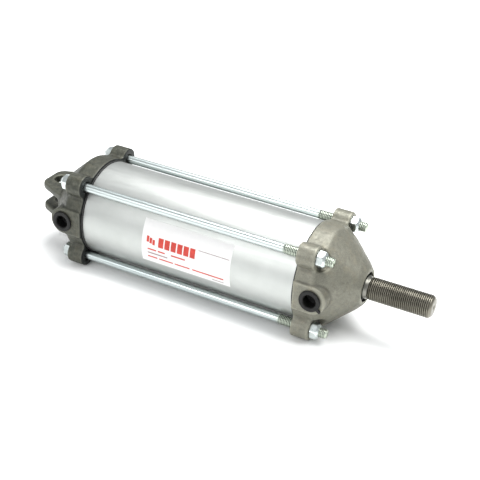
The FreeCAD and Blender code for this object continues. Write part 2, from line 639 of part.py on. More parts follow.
# ------------------------------------------------------------- piston and its rod
def make_piston_group():
    cup_grooves = {
        "rear": (f"({PISTON_REAR} + Sizes.cup_inset)",
                 f"({PISTON_REAR} + Sizes.cup_inset + Sizes.cup_groove_width)"),
        "front": (f"({PISTON_FRONT} - Sizes.cup_inset - Sizes.cup_groove_width)",
                  f"({PISTON_FRONT} - Sizes.cup_inset)"),
    }
    wear_start = f"({PISTON_MIDDLE} - Sizes.wear_groove_width / 2)"
    wear_end = f"({PISTON_MIDDLE} + Sizes.wear_groove_width / 2)"
    bore = "Sizes.rod_step_dia / 2 + Sizes.fit_gap"
    side_play = "Sizes.running_gap"

    piston = make_ring("piston", PISTON_REAR, PISTON_FRONT, bore, "Sizes.piston_dia / 2")
    for start, end in cup_grooves.values():
        turn(piston, rectangle(start, end, "Sizes.cup_groove_dia / 2",
                               f"Sizes.piston_dia / 2 + {PAST}"), "Groove")
    turn(piston, rectangle(wear_start, wear_end, "Sizes.wear_groove_dia / 2",
                           f"Sizes.piston_dia / 2 + {PAST}"), "Groove")

    wall = "(Sizes.bore_dia / 2 - Sizes.running_gap)"
    floor = "(Sizes.cup_groove_dia / 2 + Sizes.running_gap)"
    for end, (start, stop) in cup_grooves.items():
        open_side, shut_side = (start, stop) if end == "rear" else (stop, start)
        sign = "+" if end == "rear" else "-"
        back = "-" if end == "rear" else "+"
        tip = f"{open_side} {sign} {side_play}"
        root = f"{open_side} {sign} Sizes.cup_lip_length"
        heel = f"{shut_side} {back} {side_play}"
        cup = new_body(f"{end}_piston_cup")
        turn(cup, [
            (tip, f"{floor} + Sizes.cup_lip_floor_tip"),
            (tip, f"{floor} + Sizes.cup_lip_floor_back"),
            (root, f"{floor} + Sizes.cup_lip_root"),
            (root, f"{wall} - Sizes.cup_lip_root"),
            (tip, f"{wall} - Sizes.cup_lip_wall_back"),
            (tip, wall),
            (root, f"{wall} - Sizes.cup_wall_play"),
            (heel, f"{wall} - Sizes.cup_wall_play"),
            (heel, floor),
            (root, floor),
        ])
    make_ring("piston_wear_ring", f"{wear_start} + {side_play}", f"{wear_end} - {side_play}",
              "Sizes.wear_groove_dia / 2 + Sizes.running_gap", wall)

    washer_end = f"({PISTON_REAR} - Sizes.piston_washer_length)"
    make_ring("piston_washer", washer_end, PISTON_REAR, bore, "Sizes.piston_washer_dia / 2")
    nut = make_nut("piston_nut", "Sizes.piston_nut_flats", "Sizes.piston_nut_height",
                   bore, "Sizes.nut_chamfer")
    nut.setExpression(".Placement.Base.x", f"{washer_end} - Sizes.piston_nut_height")
    make_piston_rod()


def make_piston_rod():
    """Stepped end, O-ring groove, ground body, thread relief and threaded end."""
    rod, step = "Sizes.rod_dia / 2", "Sizes.rod_step_dia / 2"
    thread_start = "(Sizes.rod_end_x - Sizes.rod_thread_length)"
    groove_end = f"({PISTON_FRONT} - Sizes.o_ring_inset)"
    groove_start = f"({groove_end} - Sizes.o_ring_section - Sizes.o_ring_play)"
    groove_floor = f"({step} - Sizes.o_ring_section)"
    body = new_body("piston_rod")
    turn(body, [
        (ROD_REAR, "0"),
        (ROD_REAR, f"{step} - Sizes.rod_edge"),
        (f"{ROD_REAR} + Sizes.rod_edge", step),
        (groove_start, step),
        (groove_start, groove_floor),
        (groove_end, groove_floor),
        (groove_end, step),
        (PISTON_FRONT, step),
        (PISTON_FRONT, rod),
        (f"{thread_start} - Sizes.rod_neck_length - Sizes.rod_relief_cone", rod),
        (f"{thread_start} - Sizes.rod_neck_length", "Sizes.rod_neck_dia / 2"),
        (thread_start, "Sizes.rod_neck_dia / 2"),
        (f"{thread_start} + Sizes.rod_relief_cone", rod),
        ("Sizes.rod_end_x - Sizes.rod_chamfer", rod),
        ("Sizes.rod_end_x", f"{rod} - Sizes.rod_chamfer"),
        ("Sizes.rod_end_x", "0"),
    ])
    ring = doc.addObject("Part::Torus", "rod_o_ring")
    ring.Label = "rod_o_ring"
    ring.setExpression("Radius1", f"{step} + Sizes.fit_gap / 2 - Sizes.o_ring_section / 2")
    ring.setExpression("Radius2", "Sizes.o_ring_section / 2 - Sizes.fit_gap")
    ring.Placement = Placement(Vector(), Rotation(Vector(0, 1, 0), 90))
    ring.setExpression(".Placement.Base.x", f"({groove_start} + {groove_end}) / 2")


# ---------------------------------------------------------------- shipping plugs
def make_plug(name, port_x, has_tab):
    """A hollow plastic plug: rim on the port face, closed end inside the port."""
    body = new_body(name)
    rim_y = "Sizes.port_face_y + Sizes.plug_seat_gap + Sizes.plug_rim_thickness"
    extrude(body, "Pad", "XZ_Plane", rim_y, "Sizes.plug_rim_thickness",
            lambda sketch: draw_circle(sketch, port_x, "0", "Sizes.plug_rim_dia / 2"),
            backwards=True)
    extrude(body, "Pad", "XZ_Plane", rim_y,
            "Sizes.plug_rim_thickness + Sizes.plug_body_length",
            lambda sketch: draw_circle(sketch, port_x, "0", "Sizes.plug_body_dia / 2"),
            backwards=True)
    if has_tab:
        along, half = "cos(Sizes.plug_tab_angle)", "Sizes.plug_tab_width / 2"
        down = "sin(Sizes.plug_tab_angle)"
        inner = "(Sizes.plug_rim_dia / 2 - Sizes.plug_tab_overlap)"
        reach = "Sizes.plug_tab_reach"
        extrude(body, "Pad", "XZ_Plane", rim_y, "Sizes.plug_rim_thickness",
                lambda sketch: draw_outline(sketch, [
                    (f"{port_x} + {inner} * {along} + {half} * {down}",
                     f"-{inner} * {down} + {half} * {along}"),
                    (f"{port_x} + {reach} * {along} + {half} * {down}",
                     f"-{reach} * {down} + {half} * {along}"),
                    (f"{port_x} + {reach} * {along} - {half} * {down}",
                     f"-{reach} * {down} - {half} * {along}"),
                    (f"{port_x} + {inner} * {along} - {half} * {down}",
                     f"-{inner} * {down} - {half} * {along}")]),
                backwards=True)
    extrude(body, "Pocket", "XZ_Plane", rim_y,
            "Sizes.plug_rim_thickness + Sizes.plug_body_length - Sizes.plug_floor",
            lambda sketch: draw_circle(sketch, port_x, "0", "Sizes.plug_core_dia / 2"))
    return body


# --------------------------------------------------------------------- the build
make_rear_head()
make_front_head()
make_tube()
make_gaskets()
make_label()
make_fasteners()
make_gland_pieces()
make_piston_group()
make_plug("rear_port_plug", REAR_PORT_X, False)
make_plug("front_port_plug", FRONT_PORT_X, True)
doc.recompute()


def is_piece(item):
    """A sub-part: a body, the label or the O-ring, not what they are made from."""
    return item.TypeId == "PartDesign::Body" or item.Name in ("label", "rod_o_ring")


for item in doc.Objects:
    if {"Invalid", "Error"} & set(item.State):
        raise RuntimeError(f"{item.Name} failed: {item.State}")

os.makedirs("parts", exist_ok=True)
pieces = [item for item in doc.Objects if is_piece(item)]
for piece in pieces:
    shape = piece.Shape
    if shape.isNull() or not shape.isValid():
        raise RuntimeError(f"{piece.Label} has no valid shape")
    print(f"{piece.Label}: {len(shape.Solids)} solid, {shape.Volume / 1000:.2f} cm3")
for piece in pieces:
    piece.Shape.exportStep(f"parts/{piece.Label}.step")
print(len(pieces), "pieces written")
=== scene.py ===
"""Looks of a tie-rod air cylinder: cast heads, satin tube, zinc tie rods, threaded rod.

Everything is in metres in the row frame: +X runs along the rod towards its thread,
+Z along the clevis pin hole, and the ports face -Y.
"""
import json
import math

import bmesh
import bpy
import numpy as np
from mathutils import Matrix, Vector, noise


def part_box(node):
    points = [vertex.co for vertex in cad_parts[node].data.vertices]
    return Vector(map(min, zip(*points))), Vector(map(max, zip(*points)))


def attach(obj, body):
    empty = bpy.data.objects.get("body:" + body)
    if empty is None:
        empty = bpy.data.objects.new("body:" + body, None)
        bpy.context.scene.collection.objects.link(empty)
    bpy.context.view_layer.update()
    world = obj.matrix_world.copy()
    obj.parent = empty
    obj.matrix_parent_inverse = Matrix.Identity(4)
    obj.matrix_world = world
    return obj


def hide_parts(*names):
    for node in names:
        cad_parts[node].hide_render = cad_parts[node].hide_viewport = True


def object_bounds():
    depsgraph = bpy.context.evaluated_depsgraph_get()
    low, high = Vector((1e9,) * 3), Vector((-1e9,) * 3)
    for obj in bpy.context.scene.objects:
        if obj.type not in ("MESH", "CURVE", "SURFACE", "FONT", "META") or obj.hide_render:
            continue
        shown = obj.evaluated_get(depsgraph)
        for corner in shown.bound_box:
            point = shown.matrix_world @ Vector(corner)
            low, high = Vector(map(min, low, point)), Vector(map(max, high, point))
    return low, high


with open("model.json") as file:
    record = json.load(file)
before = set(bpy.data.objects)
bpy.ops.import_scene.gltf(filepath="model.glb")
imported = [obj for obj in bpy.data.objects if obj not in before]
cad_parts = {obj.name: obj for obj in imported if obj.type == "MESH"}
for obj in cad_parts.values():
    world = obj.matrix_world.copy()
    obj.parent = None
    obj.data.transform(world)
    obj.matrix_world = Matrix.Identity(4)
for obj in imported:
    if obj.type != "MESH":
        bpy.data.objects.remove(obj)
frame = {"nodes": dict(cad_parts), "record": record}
cad_low, cad_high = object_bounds()
NODES = frame["nodes"]
MM = 0.001
FULL_TURN = 2 * math.pi


# ------------------------------------------------------------- places from the frame
def centre(node):
    low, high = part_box(node)
    return (low + high) / 2


def cad_points(node):
    return np.array([vertex.co for vertex in NODES[node].data.vertices])


def mount(name):
    return next(item for item in frame["record"]["mounts"] if item["name"] == name)


TUBE_LOW, TUBE_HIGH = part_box("cylinder_tube")
ROD_LOW, ROD_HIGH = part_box("piston_rod")
TUBE_RADIUS = TUBE_HIGH.z
BORE_RADIUS = np.hypot(*cad_points("cylinder_tube")[:, 1:].T).min()
ROD_RADIUS = ROD_HIGH.z
PIN_HOLE_RADIUS = mount("clevis_pin_hole")["dims"]["r_mm"] * MM
CORNERS = ("top_near", "top_far", "bottom_near", "bottom_far")
ROD_PITCH = 25.4 / 14 * MM
TIE_PITCH = 25.4 / 16 * MM
# A thread's depth and how far its crest's sides fall, as shares of the pitch and depth.
THREAD_DEPTH = 0.60
CREST_FALL = 0.12
NUT_FLATS = 14.29 * MM
# How many times a casting is softened: each rounds its edges a little more.
CAST_ROUNDS = 3
EAR_ROUNDS = 1
# Facets of a remade casting, and how deep the sand's roughness goes.
VOXEL = 0.9 * MM
SAND_DEPTH = 0.16 * MM
# How near a machined face or hole a point is held, and how freely it may still move.
HELD_NEAR_FACE, FACE_FREEDOM = 1.0 * MM, 0.12
HELD_NEAR_HOLE, HOLE_FREEDOM = 1.1 * MM, 0.15


# ------------------------------------------------------------------------- materials
class Shader:
    """A material's node tree, with short calls for the nodes that these looks need."""

    def __init__(self, name):
        self.material = bpy.data.materials.new(name)
        self.material.use_nodes = True
        self.tree = self.material.node_tree
        self.tree.nodes.clear()
        self.output = self.tree.nodes.new("ShaderNodeOutputMaterial")
        self.principled = self.tree.nodes.new("ShaderNodeBsdfPrincipled")
        self.link(self.principled.outputs[0], self.output.inputs[0])
        self.coordinates = self.tree.nodes.new("ShaderNodeTexCoord").outputs["Object"]

    def link(self, source, target):
        self.tree.links.new(source, target)

    def set(self, socket, number):
        self.principled.inputs[socket].default_value = number

    def stretched(self, scale):
        mapping = self.tree.nodes.new("ShaderNodeMapping")
        mapping.inputs["Scale"].default_value = scale
        self.link(self.coordinates, mapping.inputs["Vector"])
        return mapping.outputs["Vector"]

    def noise(self, scale, detail=4.0, stretch=(1, 1, 1), roughness=0.6):
        node = self.tree.nodes.new("ShaderNodeTexNoise")
        node.inputs["Scale"].default_value = scale
        node.inputs["Detail"].default_value = detail
        node.inputs["Roughness"].default_value = roughness
        self.link(self.stretched(stretch), node.inputs["Vector"])
        return node.outputs["Fac"]

    def pits(self, scale):
        node = self.tree.nodes.new("ShaderNodeTexVoronoi")
        node.inputs["Scale"].default_value = scale
        self.link(self.coordinates, node.inputs["Vector"])
        return node.outputs["Distance"]

    def attribute(self, name):
        node = self.tree.nodes.new("ShaderNodeAttribute")
        node.attribute_name = name
        return node.outputs["Fac"]

    def along(self, axis):
        split = self.tree.nodes.new("ShaderNodeSeparateXYZ")
        self.link(self.coordinates, split.inputs[0])
        return split.outputs[axis]

    def spread(self, source, low, high, start, end):
        node = self.tree.nodes.new("ShaderNodeMapRange")
        for index, number in enumerate((low, high, start, end), start=1):
            node.inputs[index].default_value = number
        self.link(source, node.inputs[0])
        return node.outputs[0]

    def ramp(self, source, stops):
        node = self.tree.nodes.new("ShaderNodeValToRGB")
        elements = node.color_ramp.elements
        elements[0].position, elements[0].color = stops[0][0], (*stops[0][1], 1)
        elements[1].position, elements[1].color = stops[-1][0], (*stops[-1][1], 1)
        for position, colour in stops[1:-1]:
            elements.new(position).color = (*colour, 1)
        self.link(source, node.inputs[0])
        return node.outputs[0]

    def mix(self, factor, first, second, blend="MIX"):
        node = self.tree.nodes.new("ShaderNodeMix")
        node.data_type = "RGBA"
        node.blend_type = blend
        for source, target in ((factor, 0), (first, 6), (second, 7)):
            if isinstance(source, (int, float)):
                node.inputs[target].default_value = source
            elif isinstance(source, tuple):
                node.inputs[target].default_value = (*source, 1)
            else:
                self.link(source, node.inputs[target])
        return node.outputs[2]

    def bump(self, height, distance, strength=1.0, under=None):
        node = self.tree.nodes.new("ShaderNodeBump")
        node.inputs["Distance"].default_value = distance
        node.inputs["Strength"].default_value = strength
        self.link(height, node.inputs["Height"])
        if under is not None:
            self.link(under, node.inputs["Normal"])
        return node.outputs[0]

    def finish(self, colour, roughness, normal=None):
        self.link(colour, self.principled.inputs["Base Color"])
        self.link(roughness, self.principled.inputs["Roughness"])
        if normal is not None:
            self.link(normal, self.principled.inputs["Normal"])
        return self.material


def cast_aluminium(name, dark, light, stain, black_from=None):
    """Sand-cast skin: mottled, finely pitted, with its proud edges painted brighter, partly as
    wear and partly as painted highlight, and painted shade in its hollows.

    black_from is where along X the face against the tube starts; that face is painted near-black
    as painted shade.
    """
    look = Shader(name)
    look.set("Metallic", 0.45)
    mottle = look.ramp(look.noise(240, 7, roughness=0.7), [(0.30, dark), (0.70, light)])
    stains = look.spread(look.noise(130, 4), 0.50, 0.72, 0.0, 0.40)
    speckle = look.spread(look.noise(1300, 3), 0.32, 0.68, 0.66, 1.25)
    relief = look.attribute("relief")
    # Proud edges are painted brighter: partly edge wear, partly painted highlight.
    wear_and_highlight = look.spread(relief, 0.44, 0.30, 0.0, 0.28)
    # Hollows such as the nut pockets are painted darker here: painted shade.
    painted_hollow_shade = look.spread(relief, 0.53, 0.72, 0.0, 0.85)
    colour = look.mix(stains, mottle, stain)
    colour = look.mix(0.55, colour, speckle, "MULTIPLY")
    colour = look.mix(wear_and_highlight, colour, tuple(min(1.0, 1.9 * part) for part in light))
    colour = look.mix(painted_hollow_shade, colour, tuple(0.18 * part for part in dark))
    if black_from is not None:
        # A band along the edge of that face is painted lighter: painted highlight, partly bare
        # machined metal.
        rim = look.spread(look.along(0), black_from - 2.4 * MM, black_from - 1.6 * MM,
                          0.0, 0.45)
        colour = look.mix(rim, colour, light)
        # The face against the tube is painted near-black: painted shade.
        painted_face_shade = look.spread(look.along(0), black_from - 1.1 * MM, black_from - 0.5 * MM,
                             0.0, 1.0)
        colour = look.mix(painted_face_shade, colour, (0.012, 0.014, 0.012))
    coarse = look.bump(look.noise(520, 5), 0.25 * MM, 0.55)
    fine = look.bump(look.pits(1500), 0.08 * MM, 0.35, coarse)
    return look.finish(colour, look.spread(look.noise(420), 0.3, 0.7, 0.36, 0.60), fine)


def drawn_metal(name, dark, light, roughness, stretch, scale, depth=0.01 * MM, streak=0.8):
    """A metal whose fine lines run one way, as drawing, grinding or turning leaves them."""
    look = Shader(name)
    look.set("Metallic", 1.0)
    cloud = look.ramp(look.noise(45, 3), [(0.3, dark), (0.7, light)])
    lines = look.noise(scale, 3, stretch)
    streaks = look.spread(lines, 0.3, 0.7, 0.88, 1.06)
    colour = look.mix(streak, cloud, streaks, "MULTIPLY")
    finish = look.spread(lines, 0.3, 0.7, roughness - 0.05, roughness + 0.07)
    return look.finish(colour, finish, look.bump(lines, depth, 0.5))


def zinc(name, plate_looks, tint, tint_from, tint_to, stretch=(1, 1, 1), grain=0.006 * MM):
    """Bright zinc plate, with a passivated tint that grows towards one end."""
    look = Shader(name)
    look.set("Metallic", 1.0)
    plate = look.ramp(look.noise(160, 4, stretch),
                      [(0.3, plate_looks[0]), (0.7, plate_looks[1])])
    end = look.spread(look.along(0), tint_from, tint_to, 0.0, 1.0)
    colour = look.mix(end, plate, tint)
    shine = look.spread(look.noise(300, 3, stretch), 0.3, 0.7, 0.26, 0.36)
    return look.finish(colour, shine, look.bump(look.noise(500, 3, stretch), grain, 0.3))


def moulded(name, dark, light, low, high, grain=1400, depth=0.04 * MM, specular=0.5):
    """Moulded plastic or rubber, a print or a film: faintly clouded and grained."""
    look = Shader(name)
    look.set("Specular IOR Level", specular)
    colour = look.ramp(look.noise(220, 3), [(0.3, dark), (0.7, light)])
    grained = look.noise(grain, 3)
    finish = look.spread(grained, 0.3, 0.7, low, high)
    return look.finish(colour, finish, look.bump(grained, depth, 0.4))


ROUND_LINES = (1, 0.04, 0.04)
LENGTH_LINES = (0.02, 1, 1)
LOOKS = {
    "front_cast": cast_aluminium("cast_front", (0.142, 0.140, 0.112), (0.205, 0.202, 0.162),
                                 (0.23, 0.205, 0.145)),
    "rear_cast": cast_aluminium("cast_rear", (0.026, 0.028, 0.021), (0.088, 0.090, 0.070),
                                (0.115, 0.105, 0.07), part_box("rear_tube_gasket")[0].x),
    "tube": drawn_metal("tube_satin", (0.45, 0.465, 0.45), (0.49, 0.505, 0.49), 0.47,
                        LENGTH_LINES, 1300, 0.002 * MM, 0.25),
    "zinc_nut": zinc("zinc_plate", ((0.56, 0.61, 0.60), (0.68, 0.73, 0.72)),
                     (0.74, 0.78, 0.74), 1.0, 2.0),
    "rod_thread": drawn_metal("rod_thread_steel", (0.145, 0.136, 0.110), (0.225, 0.212, 0.175),
                              0.36, ROUND_LINES, 900, 0.02 * MM),
    # The rod thread's roots are painted darker than its flanks: painted shade in the grooves.
    "rod_root_painted_shade": drawn_metal("rod_thread_roots_painted_shade", (0.05, 0.046, 0.036), (0.10, 0.094, 0.074),
                            0.45, ROUND_LINES, 900, 0.02 * MM),
    "rod_shank": drawn_metal("rod_ground", (0.16, 0.158, 0.138), (0.24, 0.236, 0.21), 0.36,
                             ROUND_LINES, 2200),
    "plain_steel": drawn_metal("plain_steel", (0.16, 0.16, 0.155), (0.34, 0.34, 0.33), 0.36,
                               ROUND_LINES, 1500),
    "black_steel": drawn_metal("blackened_steel", (0.014, 0.014, 0.012), (0.034, 0.034, 0.030),
                               0.45, ROUND_LINES, 1500),
    "piston": drawn_metal("turned_aluminium", (0.52, 0.53, 0.53), (0.72, 0.73, 0.73), 0.30,
                          ROUND_LINES, 1500),
    "bronze": drawn_metal("sintered_bronze", (0.36, 0.21, 0.08), (0.55, 0.36, 0.15), 0.42,
                          ROUND_LINES, 1500),
    "plug": moulded("plug_black", (0.004, 0.004, 0.004), (0.010, 0.010, 0.009), 0.30, 0.46,
                    specular=0.22),
    "rubber": moulded("seal_black", (0.008, 0.008, 0.008), (0.026, 0.026, 0.024), 0.5, 0.72),
    "wiper": moulded("wiper_green", (0.006, 0.009, 0.006), (0.018, 0.024, 0.017), 0.6, 0.8,
                     specular=0.2),
    "wear": moulded("acetal", (0.48, 0.44, 0.34), (0.62, 0.58, 0.46), 0.35, 0.5),
    "foil": moulded("label_white", (0.665, 0.66, 0.655), (0.685, 0.68, 0.675), 0.40, 0.50, 500),
    "red_ink": moulded("ink_red", (0.40, 0.022, 0.012), (0.55, 0.036, 0.02), 0.38, 0.5),
    "dark_ink": moulded("ink_dark", (0.19, 0.14, 0.14), (0.34, 0.26, 0.26), 0.4, 0.55),
}
TIE_TINT = (0.50, 0.55, 0.46)
TIE_LOW, TIE_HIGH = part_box("tie_rod_top_near")
# The tie-rod threads' roots are painted darker than their crests: painted shade in the grooves.
LOOKS["tie_root_painted_shade"] = moulded("tie_rod_roots_painted_shade", (0.11, 0.13, 0.11), (0.19, 0.21, 0.18),
                            0.35, 0.5)
LOOKS["tie_rod"] = zinc("zinc_tie_rod", ((0.42, 0.47, 0.47), (0.54, 0.59, 0.58)), TIE_TINT,
                        TIE_HIGH.x - 52 * MM, TIE_HIGH.x - 46 * MM, LENGTH_LINES,
                        0.0005 * MM)


# ----------------------------------------------------------------------- mesh helpers
def skin(rows, loop):
    """Quads over rows of points that each run once round; loop also joins last to first."""
    rows = np.asarray(rows, float)
    count, around = rows.shape[:2]
    faces = []
    for row in range(count if loop else count - 1):
        lower, upper = row * around, (row + 1) % count * around
        for step in range(around):
            after = (step + 1) % around
            faces.append((lower + step, lower + after, upper + after, upper + step))
    return rows.reshape(-1, 3), faces


def make_piece(name, parts, body, replaced=(), sharp=38):
    """One object from parts: (points, faces, material) each; facets meet sharp above an angle."""
    work = bmesh.new()
    materials = []
    for points, faces, material in parts:
        if material not in materials:
            materials.append(material)
        corners = [work.verts.new(point) for point in points]
        for face in faces:
            made = work.faces.new([corners[index] for index in face])
            made.material_index = materials.index(material)
    loose = [corner for corner in work.verts if not corner.link_faces]
    bmesh.ops.delete(work, geom=loose, context="VERTS")
    bmesh.ops.remove_doubles(work, verts=work.verts, dist=1e-7)
    bmesh.ops.dissolve_degenerate(work, edges=work.edges, dist=1e-7)
    bmesh.ops.recalc_face_normals(work, faces=work.faces)
    mesh = bpy.data.meshes.new(name)
    work.to_mesh(mesh)
    work.free()
    for material in materials:
        mesh.materials.append(LOOKS[material])
    mesh.shade_smooth()
    mesh.set_sharp_from_angle(angle=math.radians(sharp))
    return add_piece(name, mesh, body, replaced)


def add_piece(name, mesh, body, replaced):
    piece = bpy.data.objects.new(name, mesh)
    bpy.context.scene.collection.objects.link(piece)
    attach(piece, body)
    if replaced:
        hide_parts(*replaced)
    return piece


def round_corners(outline, radius, steps=4):
    """A closed outline with each corner turned into a short curve."""
    rounded = []
    points = [Vector(point) for point in outline]
    for index, corner in enumerate(points):
        before, after = points[index - 1], points[(index + 1) % len(points)]
        to_before, to_after = before - corner, after - corner
        if corner.y < 1e-9:
            rounded.append(corner)
            continue
        reach = min(radius, 0.45 * to_before.length, 0.45 * to_after.length)
        start = corner + to_before.normalized() * reach
        end = corner + to_after.normalized() * reach
        for step in range(steps + 1):
            share = step / steps
            first = start.lerp(corner, share)
            second = corner.lerp(end, share)
            rounded.append(first.lerp(second, share))
    return [tuple(point) for point in rounded]


def circle_angles(around):
    return np.arange(around) * FULL_TURN / around


def lathe(outline, around=128, axis=(0, 0)):
    """Turn a closed (x, radius) outline about a line along X through axis (y, z)."""
    angles = circle_angles(around)
    rows = []
    for x, radius in outline:
        rows.append(np.stack([np.full(around, x), axis[0] + radius * np.cos(angles),
                              axis[1] + radius * np.sin(angles)], axis=1))
    return skin(rows, loop=True)


def thread_rows(start, end, crest, pitch, around, axis=(0, 0)):
    """Rows of a right-hand thread: each starts a quarter pitch on and climbs one pitch."""
    rows = []
    fade = 0.8 * pitch
    depth = THREAD_DEPTH * pitch
    for row in range(math.ceil(4 * ((end - start) / pitch + 1)) + 1):
        climb = np.arange(around + 1) / around
        x = np.clip(start + pitch * (row / 4 - 1 + climb), start, end)
        ramp = np.clip(np.minimum(x - start, end - x) / fade, 0, 1)
        share = (0.0, CREST_FALL, 1.0, CREST_FALL)[row % 4]
        radius = crest - depth * (share * ramp + 0.5 * (1 - ramp))
        angle = FULL_TURN * climb
        rows.append(np.stack([x, axis[0] + radius * np.cos(angle),
                              axis[1] + radius * np.sin(angle)], axis=1))
    return rows


def open_skin(rows):
    """Quads over rows whose two sides aren't joined here but meet by position."""
    rows = np.asarray(rows)
    count, across = rows.shape[:2]
    faces = []
    for row in range(count - 1):
        for step in range(across - 1):
            corner = row * across + step
            faces.append((corner, corner + 1, corner + across + 1, corner + across))
    return rows.reshape(-1, 3), faces


def closed_row(x, radius, around, axis=(0, 0)):
    angle = FULL_TURN * np.arange(around + 1) / around
    return np.stack([np.full(around + 1, x), axis[0] + radius * np.cos(angle),
                     axis[1] + radius * np.sin(angle)], axis=1)


def plain_part(profile, around, axis, material):
    rows = [closed_row(x, radius, around, axis) for x, radius in profile]
    return (*open_skin(rows), material)


def thread_parts(start, end, crest, pitch, around, axis, flank, root):
    """The thread's faces in two looks: the ones that meet at the root are painted dark, as
    painted shade in the groove.
    """
    points, faces = open_skin(thread_rows(start, end, crest, pitch, around, axis))
    looks = {0: [], 1: []}
    for index, face in enumerate(faces):
        row = index // around
        looks[row % 4 in (1, 2)].append(face)
    return [(points, looks[0], flank), (points, looks[1], root)]


# --------------------------------------------------------------------- the cast heads
def voxel_copy(node, voxel):
    """The node's mesh made again of even facets, so that it can be softened."""
    copy = bpy.data.objects.new(node + "_voxels", NODES[node].data.copy())
    bpy.context.scene.collection.objects.link(copy)
    remesh = copy.modifiers.new("voxels", "REMESH")
    remesh.mode = "VOXEL"
    remesh.voxel_size = voxel
    graph = bpy.context.evaluated_depsgraph_get()
    mesh = bpy.data.meshes.new_from_object(copy.evaluated_get(graph))
    bpy.data.objects.remove(copy)
    return mesh


def soften(points, edges, freedom, rounds):
    """Move every point towards its neighbours' mean, as far as its freedom allows."""
    count = np.bincount(edges.ravel(), minlength=len(points))[:, None]
    for _ in range(rounds):
        total = np.zeros_like(points)
        np.add.at(total, edges[:, 0], points[edges[:, 1]])
        np.add.at(total, edges[:, 1], points[edges[:, 0]])
        points = points + 0.6 * freedom[:, None] * (total / count - points)
    return points


def rough_cast(points, normals, freedom, depth):
    """Lift and sink the skin a little, as sand leaves it."""
    shift = np.empty(len(points))
    for index, point in enumerate(points):
        place = Vector(point)
        shift[index] = 0.65 * noise.noise(place * 260) + 0.35 * noise.noise(place * 700)
    return points + normals * (shift * depth * freedom)[:, None]


def mark_relief(mesh, points, normals, edges):
    """Store how hollow (above a half) or proud (below it) the skin is at each point."""
    evened = soften(points, edges, np.ones(len(points)), 10)
    hollow = np.sum((evened - points) * normals, axis=1)
    relief = mesh.attributes.new("relief", "FLOAT", "POINT")
    relief.data.foreach_set("value", np.clip(0.5 + hollow / (1.6 * MM), 0, 1))


def cast_head(node, inner_x, holes, material, soft_until=None):
    """A head with soft cast edges; its machined faces and holes stay true.

    What lies behind soft_until along X, the clevis ears, is rounded a little more.
    """
    mesh = voxel_copy(node, VOXEL)
    size = len(mesh.vertices)
    points = np.empty(size * 3)
    mesh.vertices.foreach_get("co", points)
    points = points.reshape(-1, 3)
    edges = np.empty(len(mesh.edges) * 2, int)
    mesh.edges.foreach_get("vertices", edges)
    edges = edges.reshape(-1, 2)
    freedom = np.ones(size)
    freedom[np.abs(points[:, 0] - inner_x) < HELD_NEAR_FACE] = FACE_FREEDOM
    for axis, place, radius in holes:
        across = np.delete(points - np.array(place), axis, axis=1)
        on_wall = np.abs(np.hypot(*across.T) - radius) < HELD_NEAR_HOLE
        freedom[on_wall] = HOLE_FREEDOM
    points = soften(points, edges, freedom, CAST_ROUNDS)
    if soft_until is not None:
        points = soften(points, edges, freedom * (points[:, 0] < soft_until), EAR_ROUNDS)
    mesh.vertices.foreach_set("co", points.ravel())
    normals = np.empty(size * 3)
    mesh.vertices.foreach_get("normal", normals)
    normals = normals.reshape(-1, 3)
    mark_relief(mesh, points, normals, edges)
    points = rough_cast(points, normals, freedom, SAND_DEPTH)
    # The spigot's machined end stays where the CAD has it: the piston stops just short.
    node_low, node_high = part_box(node)
    points[:, 0] = np.clip(points[:, 0], node_low.x, node_high.x)
    mesh.vertices.foreach_set("co", points.ravel())
    mesh.materials.clear()
    mesh.materials.append(LOOKS[material])
    mesh.shade_smooth()
    return add_piece(node + "_casting", mesh, "barrel", [node])


def tie_rod_holes():
    radius = 5.2 * MM
    return [(0, centre("tie_rod_" + corner), radius) for corner in CORNERS]


def make_heads():
    rear_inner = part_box("rear_tube_gasket")[0].x
    front_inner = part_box("front_tube_gasket")[1].x
    nose_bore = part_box("rod_bushing")[1].z + 1.5 * MM
    pin_hole = (2, Vector((0, 0, 0)), PIN_HOLE_RADIUS)
    slot_end = PIN_HOLE_RADIUS * 2
    cast_head("rear_head", rear_inner, tie_rod_holes() + [pin_hole], "rear_cast", slot_end)
    cast_head("front_head", front_inner,
              tie_rod_holes() + [(0, Vector((0, 0, 0)), nose_bore)], "front_cast")


# ------------------------------------------------------------------- tube and gaskets
def make_tube():
    outline = [(TUBE_LOW.x, BORE_RADIUS), (TUBE_HIGH.x, BORE_RADIUS),
               (TUBE_HIGH.x, TUBE_RADIUS), (TUBE_LOW.x, TUBE_RADIUS)]
    points, faces = lathe(round_corners(outline, 0.4 * MM), 160)
    make_piece("tube", [(points, faces, "tube")], "barrel",
               ["cylinder_tube"])


def make_gaskets():
    for end in ("rear", "front"):
        low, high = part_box(end + "_tube_gasket")
        inner = np.hypot(*cad_points(end + "_tube_gasket")[:, 1:].T).min()
        outline = [(low.x, inner), (high.x, inner), (high.x, high.z), (low.x, high.z)]
        points, faces = lathe(round_corners(outline, 0.5 * MM), 160)
        make_piece(end + "_gasket", [(points, faces, "rubber")], "barrel",
                   [end + "_tube_gasket"])


# ------------------------------------------------------------------------------ label
def curved_patch(x0, x1, angle0, angle1, radius, thickness, material, steps=24):
    """A thin bent sheet on the tube between two places and two angles in degrees."""
    angles = np.radians(np.linspace(angle0, angle1, steps + 1))
    rows = []
    for x, r in ((x0, radius), (x0, radius + thickness),
                 (x1, radius + thickness), (x1, radius)):
        rows.append(np.stack([np.full(steps + 1, x), r * np.cos(angles),
                              r * np.sin(angles)], axis=1))
    points, faces = open_skin(rows + rows[:1])
    caps = []
    for end in (0, steps):
        caps.append(tuple(row * (steps + 1) + end for row in range(4)))
    return points, faces + caps, material


